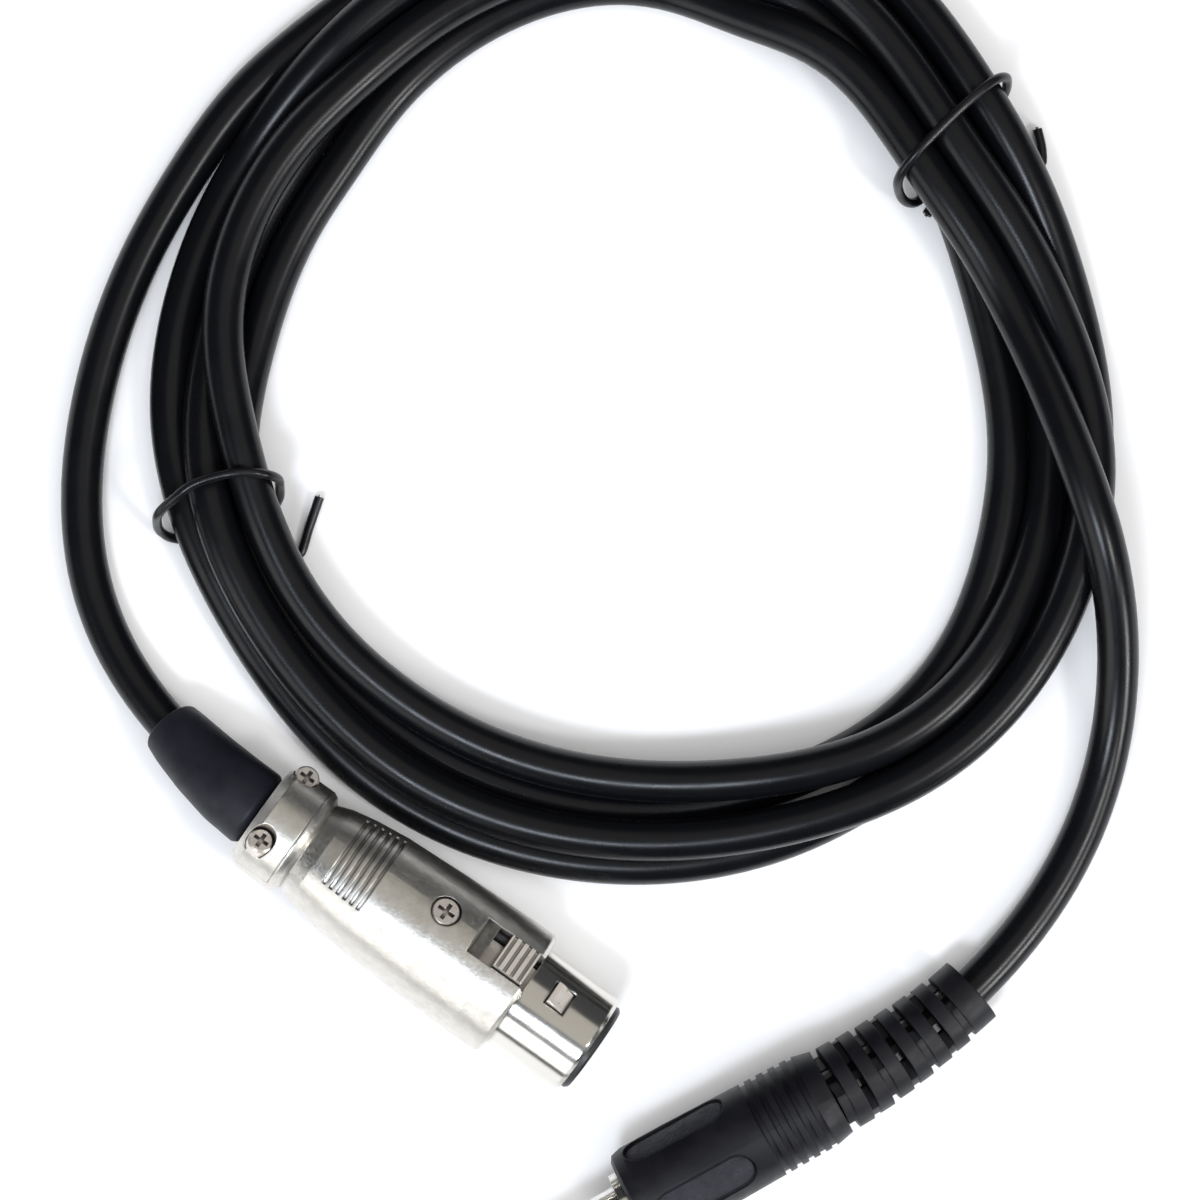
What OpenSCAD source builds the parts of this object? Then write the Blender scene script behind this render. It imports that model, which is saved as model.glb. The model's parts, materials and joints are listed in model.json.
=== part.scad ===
// Microphone lead, coiled and tied: a three-pole female cable connector with a spring latch,
// a two-pole 6.35 mm plug with a moulded grip, and one round cable between them.
// The lead lies on a table at z = 0. Its cable is stored as a round coil held by two wire ties.

/* [Cable] */
// Outer diameter of the cable
cable_d = 6; // [5.6:0.1:6.2]

/* [Coil] */
// Inner radius of the coiled bundle
coil_inner_r = 52.5; // [52:0.25:53]
// Outer radius of the coiled bundle
coil_outer_r = 69.2; // [68.5:0.1:69.3]
// Height of the coiled bundle
coil_h = 12; // [11:0.5:12]

/* [Cable connector] */
// Radius of the nose that enters the mating connector
nose_r = 7.85; // [7.8:0.01:7.9]
// Largest radius of the cast shell
body_r = 10; // [9.9:0.05:10.1]
// Length of the cast shell
shell_len = 57.4; // [57:0.1:58]
// Heading of the connector, from +X
xlr_heading = -35.5; // [-37:0.5:-34]
// Roll of the latch away from straight up
latch_roll = 28; // [20:1:35]

/* [Contacts] */
// Radius of each socket bore
socket_r = 1.22; // [1.21:0.01:1.25]
// Radius of the circle that the contacts stand on
contact_circle_r = 3.9; // [3.8:0.05:3.95]

/* [Plug] */
// Radius of the plug's shaft
shaft_r = 3.175; // [3.15:0.005:3.2]
// Length of the shaft from its collar to its tip
shaft_len = 31.75; // [30.5:0.25:32]
// Largest radius of the moulded grip
grip_r = 7.5; // [7.3:0.1:7.6]
// Heading of the plug's grip, from its tip to its cable
plug_heading = 28.8; // [28:0.1:30]

/* [Wire ties] */
// Diameter of the plastic coating
tie_d = 1.4; // [1.2:0.1:1.4]
// Diameter of the steel core
tie_core_d = 0.5; // [0.4:0.05:0.6]

/* [Hidden] */
$fn = 64;

cable_r = cable_d / 2;
eps = 0.01;             // overshoot of a cutting tool
gap = 0.05;             // clearance between pieces that fit together
up = [0, 0, 1];

// Centre of the coil, and the offset that keeps its cable clear of the connector.
coil_at = [4.5, 45.5, 0];
ring_shift = [0.8, -1, 0];      // centre of the bundle's outline, from the coil's centre
ring_corner = 4;                // rounding of the bundle's cross-section
notch_h = tie_d + 0.6;          // room for a tie under the bundle

// Connector frame: z runs back from the nose's front face, x is the latch's direction.
nose_at = [-5.4, -95, body_r + 0.1];
nose_len = 12.4;
nose_bore_r = 6.9;
gauge_len = 5.3;                // true cylinder at the nose's front, before the casting's draft
cavity_r = 8.4;
cavity_from = 14;
clamp_from = 49.6;
clamp_r = 8.4;
clamp_bore_r = 4.65;
clamp_screw_u = 54.8;
clamp_screw_y = 6;
clamp_screw_r = 1.15;
clamp_seat_x = 3.6;             // height of the screw heads' seats above the axis
clamp_head_r = 1.85;
screw_u = 27.7;                 // screw that holds the insert
screw_head_r = 2.15;
screw_shank_r = 1.25;

insert_r = nose_bore_r - gap;
insert_front = -1;
insert_shoulder = cavity_from + 0.2;
insert_back = 24;
insert_body_r = cavity_r - 0.2;
bridge_back = 31;
bridge_top = 7.1;
bridge_floor = 4;

contact_r = 1.75;
contact_front = 2.5;
socket_depth = 11;
cup_len = 4;

// Latch: a lever in a channel of the insert, pivoting on its round rear edge.
channel_floor = 3.95;
channel_w = 4.8;
lever_w = 4.2;
lever_x = [5.2, 6.2];           // lower and upper faces of the arm
lever_from = 5;
pivot_u = 21.5;
pivot_x = 5.6;
pivot_r = 0.7;
window_u = [5.7, 9.1];          // opening in the nose for the nib
window_w = 3.9;
nib_u = [6.05, 8.8];
nib_w = 3.4;
nib_top = 8.7;
slot_w = 6.1;                   // opening in the shell for the button
slot_back = 20;
button_u = [13.2, 18];
button_w = 5.4;
button_top = 10.4;
ridge_pitch = 1.2;
spring_t = 0.25;
spring_w = 3;

rib_from = 37.8;
rib_pitch = 1.2;
rib_count = 6;

// Boot: neck in the clamp, then a tapered sleeve that droops to the table.
boot_neck_r = clamp_bore_r - gap;
boot_flange_r = 5.6;
boot_wall = 0.1;
boot_len = 18.5;

// Plug frame: z runs back from the grip's front face, x is straight up.
plug_at = [0.9, -117.6, grip_r];
collar_len = 1.3;
collar_r = 4.8;
plug_ring_len = 1.4;            // visible insulating ring
plug_tip_len = 9;
plug_ring_r = 2.95;             // ring and rear of the tip, a little under the shaft
plug_tip_r = 3;
lug_x = 3.4;                    // distance of the sleeve's lug from the axis
rib_zone = [21.3, 30.1];
grip_len = 32.6;
relief_len = 25;
relief_turn = 13.2;             // change of heading along the relief
relief_drop = 2.4;
relief_r = [6.5, 5];            // radius at the grip and at the cable
relief_pitch = 3.36;
relief_ring = 2.2;
relief_count = 6;
relief_collar = 3.7;
relief_web = 5;
relief_bore_r = cable_r + 0.15;
grip_bore_r = relief_bore_r + 0.25;
relief_roll = -28;              // roll of the first pair of webs
relief_step = 50;               // how far the next pair is turned from it
panel = [16, 5.6, 0.9];         // recessed grip panel: length, width, depth
panel_at = 10.2;                // middle of a panel along the plug's axis
panel_roll = 25;                // one panel's angle from the top

// Cable route outside the coil, from the coil's centre: hand-chosen points on its centreline.
route_xlr = [
    [-65.5, -49.5, 5.6], [-70, -44, 4.2], [-74, -38, 3.2], [-76.5, -31, 3], [-77.5, -24, 3],
    [-78, -17, 3], [-77.5, -10, 3], [-76.5, -3, 3], [-75, 4.5, 3], [-72.5, 12, 3],
    [-69.5, 19, 3], [-65, 26, 3], [-60, 33, 3], [-54.5, 39, 3], [-48.5, 45, 3]
];
route_jack = [
    [49.8, -87.4, 5], [56, -81, 3.8], [61.5, -74.5, 3.1], [65, -68, 3], [68, -59.5, 3],
    [69.5, -50, 3.4], [70, -41, 4.8], [69, -31.5, 8.2], [66.5, -21, 12.2], [63, -11.5, 13.6]
];

// Wire ties: hand-chosen points on each wire's centreline, from the coil's centre.
tie_left = [
    [-44.3, -16.5, 1.4], [-45.8, -20.8, 1], [-47.2, -24.8, 0.9], [-49, -24.2, 0.9], [-56, -22.8, 0.9],
    [-64.5, -22.6, 0.9], [-68.2, -21.6, 3.2], [-68.4, -20, 7], [-67.6, -18.6, 10.8], [-64.5, -16.6, 12.9],
    [-61.5, -15, 13], [-58, -13.8, 13], [-54.5, -13.3, 13], [-51.2, -13.5, 12.6], [-49.2, -14, 9.8],
    [-48.6, -15.2, 6], [-48.6, -16.6, 3], [-50.2, -18, 1], [-54, -18.7, 0.9], [-60, -18.9, 0.9]
];
tie_right = [
    [59.6, 30.6, 0.9], [58.7, 36.2, 1], [54.8, 39.2, 0.9], [50.2, 37, 0.9], [46, 31.8, 0.9],
    [42.4, 26.4, 1.1], [39.8, 26, 3.6], [38.3, 27.4, 7], [38, 29.2, 10.8], [40.4, 31.8, 12.9],
    [44.8, 35.8, 13], [49.4, 40, 13], [52.8, 42.9, 12.6], [55.3, 43.6, 10.4], [56.6, 42.9, 6.6],
    [56.9, 41.8, 3.2], [55.6, 40, 1], [52.6, 36.4, 0.9], [48, 30.6, 0.9], [43.6, 24.4, 1]
];

// ---- helpers -------------------------------------------------------------------------------------

function unit(v) = v / norm(v);
function tangent(p, i) = unit(p[min(i + 1, len(p) - 1)] - p[max(i - 1, 0)]);
function across(t) = unit(abs(t.z) > 0.9 ? cross(t, [1, 0, 0]) : cross(t, up));
function square_to(v, t) = unit(v - (v * t) * t);
// One side vector per point, turned as little as possible from point to point.
function sides_along(p, i = 0, last = undef) =
    i == len(p) ? [] :
    let (t = tangent(p, i), n = is_undef(last) ? across(t) : square_to(last, t))
    concat([n], sides_along(p, i + 1, n));
function ring_at(p, t, n, r, count) =
    [for (j = [0:count - 1]) let (a = 360 * j / count) p + r * (cos(a) * n + sin(a) * cross(t, n))];
function rings(p, radii, count) =
    let (n = sides_along(p))
    [for (i = [0:len(p) - 1]) each ring_at(p[i], tangent(p, i), n[i], radii[i], count)];
function skin(rows, count, from = 0, flip = false) =
    [for (k = [0:rows - 2], j = [0:count - 1])
        let (a = from + k * count + j, b = from + k * count + (j + 1) % count)
        flip ? [a, b, b + count, a + count] : [a, a + count, b + count, b]];
function constant(value, p) = [for (i = p) value];
// A smooth curve through the points, with some steps between each two.
function curve_between(a, b, c, d, t) =
    0.5 * (2 * b + (c - a) * t + (2 * a - 5 * b + 4 * c - d) * t * t + (3 * b - a - 3 * c + d) * t * t * t);
function curve(p, steps) =
    let (last = len(p) - 1)
    concat(
        [for (i = [0:last - 1], k = [0:steps - 1])
            curve_between(p[max(i - 1, 0)], p[i], p[i + 1], p[min(i + 2, last)], k / steps)],
        [p[last]]);

// A solid rod that follows the points, with its own radius at each.
module rod(p, radii, count = 12) {
    last = (len(p) - 1) * count;
    polyhedron(
        rings(p, radii, count),
        concat(
            [[for (j = [0:count - 1]) j]],
            skin(len(p), count),
            [[for (j = [count - 1:-1:0]) last + j]]),
        convexity = 6);
}

// A hollow rod: the same, with a bore of its own radius at each point.
module pipe(p, radii, bores, count = 12) {
    rows = len(p);
    inner = rows * count;
    last = (rows - 1) * count;
    polyhedron(
        concat(rings(p, radii, count), rings(p, bores, count)),
        concat(
            skin(rows, count),
            skin(rows, count, inner, true),
            [for (j = [0:count - 1]) let (k = (j + 1) % count) [j, k, inner + k, inner + j]],
            [for (j = [0:count - 1])
                let (k = (j + 1) % count)
                [last + k, last + j, inner + last + j, inner + last + k]]),
        convexity = 6);
}

module tube(r, bore, z0, z1) {
    translate([0, 0, z0])
        difference() {
            cylinder(r = r, h = z1 - z0);
            translate([0, 0, -eps]) cylinder(r = bore, h = z1 - z0 + 2 * eps);
        }
}

module bar(r, z0, z1) {
    translate([0, 0, z0]) cylinder(r = r, h = z1 - z0);
}

module block(x, y, z) {
    translate([x[0], y[0], z[0]]) cube([x[1] - x[0], y[1] - y[0], z[1] - z[0]]);
}

// Local frames: z runs back along the axis.
module on_xlr() {
    translate(coil_at + nose_at)
        rotate([0, 0, xlr_heading]) rotate([-latch_roll, 0, 0]) rotate([0, -90, 0]) children();
}

module on_plug() {
    translate(coil_at + plug_at) rotate([0, 0, plug_heading + 180]) rotate([0, -90, 0]) children();
}

// ---- cable connector -----------------------------------------------------------------------------

module shell_outline() {
    polygon([
        [nose_bore_r, 0], [nose_r - 0.4, 0], [nose_r, 0.5], [nose_r, gauge_len], [nose_r + 0.05, nose_len],
        [body_r - 0.5, nose_len], [body_r, nose_len + 0.6], [body_r, 18], [9.7, 28], [9.2, 38], [8.6, 43],
        [7.9, 46.7], [7.1, clamp_from - 0.6], [clamp_r - 0.4, clamp_from], [clamp_r, clamp_from + 0.8],
        [clamp_r, shell_len - 1.4], [clamp_r - 1.2, shell_len], [clamp_bore_r, shell_len], [clamp_bore_r, 48.6],
        [5.9, 48.6], [5.9, 46.2], [7.2, 42], [cavity_r, 38], [cavity_r, cavity_from], [nose_bore_r, cavity_from]
    ]);
}

module saddle_zone(clear = 0) {
    block([-clear, clamp_r + 1], [-clamp_r - 1, clamp_r + 1], [clamp_from + 1.1 - clear, shell_len + 1]);
}

// Straight-through cut from the axis outwards, on the latch's side.
module latch_cut(w, u, from = 4) {
    block([from, body_r + 2], [-w / 2, w / 2], u);
}

module rib_grooves() {
    for (i = [0:rib_count - 1]) {
        u = rib_from + rib_pitch * i;
        r = 9.25 - 0.12 * i * rib_pitch;
        rotate([0, 0, -45])
            rotate_extrude(angle = 90) translate([r - 0.45, u]) square([2, 0.55]);
    }
}

module clamp_screw_holes(r) {
    for (side = [-1, 1])
        translate([-4, side * clamp_screw_y, clamp_screw_u]) rotate([0, 90, 0]) cylinder(r = r, h = 12);
}

module xlr_shell() {
    color([0.66, 0.65, 0.61])
        on_xlr() difference() {
            rotate_extrude() shell_outline();
            latch_cut(window_w, window_u);
            latch_cut(slot_w, [nose_len - eps, slot_back], 5);
            translate([9.2, 0, slot_back]) rotate([0, -20, 0])
                block([0, 3], [-slot_w / 2, slot_w / 2], [-2, 2]);
            block([-nose_r - 1, -nose_r + 0.6], [-1.2, 1.2], [-1, nose_len]);
            translate([5, 0, screw_u]) rotate([0, 90, 0]) cylinder(r = screw_head_r + 0.1, h = 6);
            rib_grooves();
            saddle_zone();
            clamp_screw_holes(clamp_screw_r);
        }
}

module clamp_saddle() {
    color([0.66, 0.65, 0.61])
        on_xlr() difference() {
            intersection() {
                rotate_extrude() shell_outline();
                translate([gap, 0, gap]) saddle_zone();
            }
            clamp_screw_holes(clamp_screw_r + 0.05);
            for (side = [-1, 1])
                translate([clamp_seat_x, side * clamp_screw_y, clamp_screw_u])
                    rotate([0, 90, 0]) cylinder(r = clamp_head_r + 0.1, h = 6);
        }
}

module cross_recess(size, depth) {
    for (a = [0, 90])
        rotate([0, 0, a]) block([-size, size], [-0.3, 0.3], [-depth, eps]);
}

// A screw that points along -z, with the top of its head at z = 0.
module cross_screw(head_r, head_h, shank_r, shank_len) {
    difference() {
        union() {
            bar(head_r, -head_h, -0.3);
            translate([0, 0, -0.3]) cylinder(r1 = head_r, r2 = head_r - 0.3, h = 0.3);
            bar(shank_r, -head_h - shank_len, -head_h);
        }
        cross_recess(head_r * 0.62, 0.8);
    }
}

module clamp_screws() {
    color([0.75, 0.75, 0.74])
        on_xlr() for (side = [-1, 1])
            translate([clamp_seat_x + 2.2, side * clamp_screw_y, clamp_screw_u])
                rotate([0, 90, 0]) cross_screw(clamp_head_r, 2.2, clamp_screw_r, 7);
}

module insert_screw() {
    color([0.6, 0.6, 0.6])
        on_xlr() translate([9.45, 0, screw_u])
            rotate([0, 90, 0]) cross_screw(screw_head_r, 2.2, screw_shank_r, 3);
}

function contact_xy(i) = let (a = [60, 180, -60][i]) contact_circle_r * [cos(a), sin(a)];

module xlr_insert() {
    color([0.08, 0.08, 0.08])
        on_xlr() difference() {
            union() {
                translate([0, 0, insert_front]) cylinder(r1 = insert_r - 0.4, r2 = insert_r, h = 0.4);
                bar(insert_r, insert_front + 0.4, insert_shoulder);
                bar(insert_body_r, insert_shoulder, insert_back);
                block([bridge_floor, bridge_top], [-3, 3], [insert_back, bridge_back]);
            }
            block([channel_floor, body_r], [-channel_w / 2, channel_w / 2], [4, pivot_u]);
            translate([pivot_x, -channel_w / 2, pivot_u])
                rotate([-90, 0, 0]) cylinder(r = pivot_r + gap, h = channel_w);
            for (i = [0:2]) translate(contact_xy(i)) {
                bar(1.5, insert_front - 1, contact_front + eps);
                bar(contact_r + gap, contact_front, insert_back + 1);
            }
            translate([0, 0, screw_u]) rotate([0, 90, 0]) cylinder(r = screw_shank_r + gap, h = body_r);
        }
}

module contact(i) {
    color([0.85, 0.72, 0.4])
        on_xlr() translate(contact_xy(i)) difference() {
            bar(contact_r, contact_front, insert_back + cup_len);
            bar(socket_r, contact_front - 1, contact_front + socket_depth);
            block([-0.15, 0.15], [-2, 2], [contact_front - 1, contact_front + 6]);
            bar(1.1, insert_back + 0.6, insert_back + cup_len + 1);
            block([0, 2], [-2, 2], [insert_back + 1.2, insert_back + cup_len + 1]);
        }
}

module latch_lever() {
    color([0.7, 0.69, 0.66])
        on_xlr() difference() {
            union() {
                block(lever_x, [-lever_w / 2, lever_w / 2], [lever_from, pivot_u]);
                translate([pivot_x, -lever_w / 2, pivot_u]) rotate([-90, 0, 0]) cylinder(r = pivot_r, h = lever_w);
                translate([0, nib_w / 2, 0]) rotate([90, 0, 0]) linear_extrude(nib_w)
                    polygon([
                        [lever_x[0], nib_u[0]], [nib_top - 1.3, nib_u[0]], [nib_top, nib_u[1] - 0.7],
                        [nib_top, nib_u[1]], [lever_x[0], nib_u[1]]
                    ]);
                block([lever_x[0], button_top], [-button_w / 2, button_w / 2], button_u);
            }
            for (i = [0:3])
                block([button_top - 0.45, button_top + 1], [-button_w, button_w],
                    [button_u[0] + 0.35 + ridge_pitch * i, button_u[0] + 0.9 + ridge_pitch * i]);
            // the block under the button is narrowed to the channel's width
            for (side = [-1, 1])
                block([lever_x[0] - eps, 8.6], side > 0 ? [lever_w / 2, 4] : [-4, -lever_w / 2], [12, 19]);
        }
}

module latch_spring() {
    color([0.8, 0.8, 0.78])
        on_xlr() translate([0, spring_w / 2, 0]) rotate([90, 0, 0]) linear_extrude(spring_w)
            polygon([
                [channel_floor, 19], [channel_floor, 17], [lever_x[0] - spring_t, 12], [lever_x[0] - spring_t, 10.5],
                [lever_x[0], 10.5], [lever_x[0], 12], [channel_floor + spring_t, 17], [channel_floor + spring_t, 19]
            ]);
}

// Points on the connector's axis, and the boot's drooping path behind it.
xlr_dir = [cos(xlr_heading), sin(xlr_heading), 0];
function xlr_axis(u) = nose_at - u * xlr_dir;
function boot_point(t) =
    let (a = xlr_axis(shell_len), b = route_xlr[0], m = xlr_axis(shell_len + boot_len * 0.42))
    (1 - t) * (1 - t) * a + 2 * t * (1 - t) * m + t * t * b;
boot_steps = [0, 0.05, 0.3, 0.6, 0.85, 0.95, 1];
boot_radii = [5.4, 5.9, 5.7, 5.2, 4.75, 4.45, 3.9];

module cable_boot() {
    path = concat(
        [xlr_axis(46.5), xlr_axis(48.2), xlr_axis(48.3), xlr_axis(shell_len + 0.05)],
        [for (t = boot_steps) boot_point(t) - 0.1 * xlr_dir]);
    radii = concat([boot_flange_r, boot_flange_r, boot_neck_r, boot_neck_r], boot_radii);
    color([0.12, 0.12, 0.13])
        translate(coil_at) pipe(path, radii, constant(cable_r + boot_wall, path), 24);
}

module xlr_cable_end() {
    path = concat([xlr_axis(44), xlr_axis(50), xlr_axis(shell_len)], [for (t = [0.2:0.2:1]) boot_point(t)]);
    color([0.06, 0.06, 0.065]) translate(coil_at) rod(path, constant(cable_r, path), 16);
}

// An insulated core or a drain wire from the cable's end to a contact's cup.
module solder_wire(i, r) {
    end = contact_xy(i);
    path = curve([
        [end.x, end.y, 25], [end.x * 0.95, end.y * 0.95, 29], [end.x * 0.6, end.y * 0.6, 34],
        [end.x * 0.3, end.y * 0.3, 39], [end.x * 0.3, end.y * 0.3, 43.9]
    ], 3);
    on_xlr() rod(path, constant(r, path), 10);
}

module core_red() { color([0.6, 0.06, 0.05]) solder_wire(0, 0.65); }
module core_white() { color([0.85, 0.85, 0.82]) solder_wire(1, 0.65); }
module shield_drain() { color([0.72, 0.45, 0.28]) solder_wire(2, 0.5); }

// ---- plug ----------------------------------------------------------------------------------------

plug_dir = [cos(plug_heading), sin(plug_heading), 0];
relief_start = plug_at + grip_len * plug_dir;
relief_arc = relief_len / (relief_turn * PI / 180);
// Place along the relief, as a share of its length from 0 to 1.
function relief_point(t) =
    let (h = plug_heading + relief_turn * t)
    relief_start + [
        relief_arc * (sin(h) - sin(plug_heading)), relief_arc * (cos(plug_heading) - cos(h)),
        -relief_drop * t];
function relief_radius(s) = relief_r[0] + (relief_r[1] - relief_r[0]) * s / relief_len;
relief_tilt = atan(relief_drop / relief_len);

// A stretch of the relief from s0 to s1 along its centreline, with a flat section swept round the bend.
module relief_stretch(s0, s1) {
    turn = relief_turn / relief_len;
    translate(coil_at + relief_start) rotate([0, relief_tilt, plug_heading])
        translate([0, relief_arc, 0]) rotate([0, 0, s0 * turn - 90])
            rotate_extrude(angle = (s1 - s0) * turn) translate([relief_arc, 0]) children();
}

// Closed rings joined by pairs of webs that turn by a quarter from gap to gap.
module relief() {
    for (i = [0:relief_count]) {
        s0 = relief_pitch * i;
        s1 = s0 + relief_pitch - relief_ring;
        roll = relief_roll - relief_step * (i % 2);
        r = relief_radius(s0) - 0.3;
        relief_stretch(s0 - 0.3, s1 + 0.3)
            intersection() {
                circle(r = r);
                rotate(roll) square([relief_web, 2 * r + 1], center = true);
            }
        relief_stretch(s1, i == relief_count ? relief_len : s1 + relief_ring) circle(r = relief_radius(s1));
    }
}

module grip_outline() {
    polygon([
        [0, 0], [grip_r - 1.2, 0], [grip_r - 0.4, 0.5], [grip_r, 2], [grip_r, 9], [grip_r - 0.2, 20],
        [grip_r - 0.35, grip_len - 3], [relief_r[0], grip_len], [0, grip_len]
    ]);
}

module grip_panel(angle) {
    offset_x = (panel[0] - panel[1]) / 2;
    rotate([0, 0, angle]) translate([grip_r - panel[2], 0, panel_at]) rotate([0, 90, 0]) linear_extrude(3) union() {
        square([2 * offset_x, panel[1]], center = true);
        for (x = [-offset_x, offset_x]) translate([x, 0]) circle(d = panel[1]);
    }
}

module jack_body() {
    color([0.1, 0.1, 0.11])
        difference() {
            union() {
                on_plug() rotate_extrude() grip_outline();
                relief();
            }
            on_plug() {
                bar(collar_r - 0.2, -1, 2);
                bar(5.2, 1.9, 20);
                bar(grip_bore_r, 19, grip_len - 0.4);
                for (z = [rib_zone[0]:1.9:rib_zone[1]])
                    translate([0, 0, z]) tube(grip_r + 1, grip_r - 0.7, 0, 0.9);
                for (i = [0:3]) grip_panel(panel_roll + 90 * i);
            }
            relief_stretch(-2, relief_len + 0.5) circle(r = relief_bore_r);
        }
}

module jack_inner_mould() {
    color([0.75, 0.73, 0.66])
        on_plug() difference() {
            bar(5.15, 2.05, 19.9);
            bar(4.55, 2, 8.05);
            bar(2.45, 8, 9.05);
            bar(1.25, 9, 16);
            bar(2.6, 15.9, 20);
            translate([lug_x, 0, 8]) bar(0.95, 0, 13);
        }
}

module jack_sleeve() {
    color([0.8, 0.79, 0.76])
        on_plug() difference() {
            union() {
                bar(shaft_r, -collar_len - shaft_len + plug_tip_len + plug_ring_len, -collar_len);
                bar(collar_r, -collar_len, 0);
                bar(collar_r - 0.3, 0, 2.1);
                bar(4.5, 2.1, 8);
            }
            bar(2.05, -shaft_len - 2, 9);
        }
}

module jack_insulator() {
    front = -collar_len - shaft_len + plug_tip_len;
    color([0.07, 0.07, 0.07])
        on_plug() difference() {
            union() {
                bar(plug_ring_r, front, front + plug_ring_len - gap);
                bar(2, front, 8.05);
                bar(2.4, 8.05, 9);
            }
            bar(1.25, front - 1, 10);
        }
}

module jack_tip() {
    tip = -collar_len - shaft_len;
    color([0.8, 0.79, 0.76])
        on_plug() union() {
            rotate_extrude() polygon([
                [0, tip], [0.9, tip + 0.15], [1.7, tip + 0.7], [2.8, tip + 2.2], [plug_tip_r, tip + 3.1],
                [2.8, tip + 3.9], [2.35, tip + 5], [2.3, tip + 5.7], [2.8, tip + 6.7], [plug_tip_r, tip + 7.1],
                [plug_tip_r, tip + plug_tip_len - gap], [0, tip + plug_tip_len - gap]
            ]);
            bar(1.2, tip + plug_tip_len - 1, 12);
            bar(0.9, 12, 15.5);
        }
}

module jack_sleeve_lug() {
    color([0.78, 0.77, 0.74])
        on_plug() translate([lug_x, 0, 8]) bar(0.9, 0, 8);
}

module plug_wire(x, z0, r) {
    path = [[x, 0, z0], [x, 0, z0 + 1.2], [x * 0.6 + 0.35, 0, 19.4], [x * 0.4 + 0.3, 0, 20.8]];
    on_plug() rod(path, constant(r, path), 10);
}

module jack_core() { color([0.6, 0.06, 0.05]) plug_wire(-0.6, 16, 0.65); }
module jack_shield() { color([0.72, 0.45, 0.28]) plug_wire(2.2, 16.6, 0.45); }

module jack_cable_end() {
    path = concat([plug_at + 21 * plug_dir, plug_at + 27 * plug_dir], [for (t = [0:0.2:1]) relief_point(t)]);
    color([0.06, 0.06, 0.065]) translate(coil_at) rod(path, constant(cable_r, path), 16);
}

// ---- cable ---------------------------------------------------------------------------------------

module cable_run(route) {
    color([0.06, 0.06, 0.065]) translate(coil_at) rod(route, constant(cable_r, route), 12);
}

module cable_tail_xlr() { cable_run(route_xlr); }
module cable_tail_jack() { cable_run(route_jack); }

module bundle_section() {
    w = coil_outer_r - coil_inner_r;
    c = ring_corner;
    translate([coil_inner_r, 0]) union() {
        translate([c, 0]) square([w - 2 * c, coil_h]);
        translate([0, c]) square([w, coil_h - 2 * c]);
        for (x = [c, w - c], z = [c, coil_h - c]) translate([x, z]) circle(r = c);
    }
}

// Straight notch under the bundle, across it at one angle.
module tie_notch(angle, width) {
    rotate([0, 0, angle]) translate([coil_inner_r - 6, -width / 2, -1])
        cube([coil_outer_r - coil_inner_r + 12, width, 1 + notch_h]);
}

module cable_coil() {
    color([0.06, 0.06, 0.065])
        translate(coil_at + ring_shift) difference() {
            rotate_extrude($fn = 128) bundle_section();
            tie_notch(200, 20);
            tie_notch(33, 24);
        }
}

// ---- wire ties -----------------------------------------------------------------------------------

module tie_sheath(points) {
    path = curve(points, 2);
    color([0.05, 0.05, 0.05])
        translate(coil_at) pipe(path, constant(tie_d / 2, path), constant(tie_core_d / 2 + gap, path), 8);
}

// The steel core stands out a little at both cut ends.
module tie_wire(points) {
    path = curve(points, 2);
    last = len(path) - 1;
    proud = 0.25;
    ends = concat(
        [path[0] - proud * tangent(path, 0)],
        [for (i = [1:last - 1]) path[i]],
        [path[last] + proud * tangent(path, last)]);
    color([0.7, 0.7, 0.7]) translate(coil_at) rod(ends, constant(tie_core_d / 2, ends), 8);
}

module tie_left_sheath() { tie_sheath(tie_left); }
module tie_left_wire() { tie_wire(tie_left); }
module tie_right_sheath() { tie_sheath(tie_right); }
module tie_right_wire() { tie_wire(tie_right); }

xlr_shell();
xlr_insert();
contact(0);  // contact_1
contact(1);  // contact_2
contact(2);  // contact_3
latch_lever();
latch_spring();
insert_screw();
clamp_saddle();
clamp_screws();
cable_boot();
xlr_cable_end();
core_red();
core_white();
shield_drain();
jack_body();
jack_inner_mould();
jack_sleeve();
jack_insulator();
jack_tip();
jack_sleeve_lug();
jack_core();
jack_shield();
jack_cable_end();
cable_tail_xlr();
cable_coil();
cable_tail_jack();
tie_left_sheath();
tie_left_wire();
tie_right_sheath();
tie_right_wire();
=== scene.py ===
"""A microphone lead, coiled and tied on a pale table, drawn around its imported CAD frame.

Lengths are in millimetres and places are measured from the coil's centre, unless a name says otherwise.
"""

import json
import math

import bpy
import numpy as np
from mathutils import Matrix, Vector


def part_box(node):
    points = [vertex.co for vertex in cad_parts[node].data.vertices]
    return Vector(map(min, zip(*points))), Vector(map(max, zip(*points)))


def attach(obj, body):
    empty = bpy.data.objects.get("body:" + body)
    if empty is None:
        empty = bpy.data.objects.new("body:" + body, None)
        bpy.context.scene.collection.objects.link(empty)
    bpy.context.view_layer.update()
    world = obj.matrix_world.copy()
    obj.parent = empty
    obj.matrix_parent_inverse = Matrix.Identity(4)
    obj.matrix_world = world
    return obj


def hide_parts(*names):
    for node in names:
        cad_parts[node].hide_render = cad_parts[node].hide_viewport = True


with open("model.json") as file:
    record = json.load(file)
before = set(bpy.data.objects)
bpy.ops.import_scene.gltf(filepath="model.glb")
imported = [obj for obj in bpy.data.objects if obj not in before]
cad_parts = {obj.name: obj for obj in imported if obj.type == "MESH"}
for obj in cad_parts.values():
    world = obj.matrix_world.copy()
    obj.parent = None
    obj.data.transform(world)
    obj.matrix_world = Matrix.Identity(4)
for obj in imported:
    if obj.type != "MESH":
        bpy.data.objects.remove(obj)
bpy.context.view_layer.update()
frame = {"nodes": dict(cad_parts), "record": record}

MM = 0.001
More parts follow.
